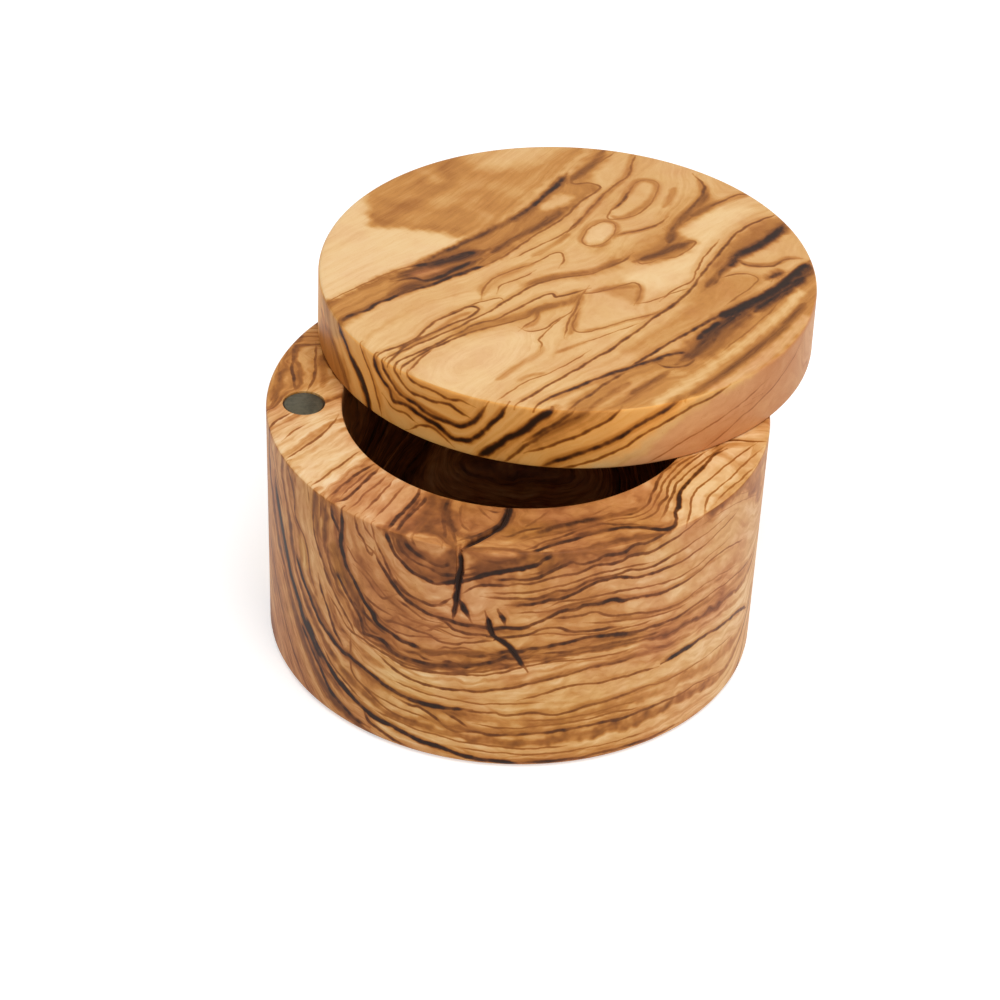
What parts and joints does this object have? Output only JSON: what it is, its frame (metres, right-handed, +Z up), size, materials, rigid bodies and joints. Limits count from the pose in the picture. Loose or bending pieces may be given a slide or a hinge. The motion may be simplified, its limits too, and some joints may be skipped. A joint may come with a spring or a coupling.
{
  "type": "swivel-lid salt box",
  "caption": "Round turned olive-wood salt box with a flat lid that swivels about a hidden pin and is held shut by magnets.",
  "frame": {"origin": "centre of the flat foot of the body", "axes": "+Z up along the axis of the body; +X from that axis towards the pivot pin, so the rim magnet lies towards -X and the lid swings open towards +Y"},
  "size_m": [0.1111, 0.1286, 0.0663],
  "materials": {
    "body_wood": "oiled olive wood, satin",
    "lid_wood": "oiled olive wood, satin",
    "pin_steel": "ground steel",
    "magnet_nickel": "dull nickel plate",
    "epoxy": "clear epoxy darkened by the wood round it"
  },
  "bodies": {
    "box": {"body": "body_wood", "pivot_pin": "pin_steel", "pivot_pin_glue": "epoxy", "rim_magnet": "magnet_nickel", "rim_magnet_glue": "epoxy"},
    "swivel_lid": {"lid": "lid_wood", "lid_magnet": "magnet_nickel", "lid_magnet_glue": "epoxy"}
  },
  "joints": [
    {"name": "lid_swivel", "type": "hinge", "parent": "box", "child": "swivel_lid", "pos_m": [0.0425, 0, 0.0524], "axis": [0, 0, 1], "continuous": true}
  ]
}
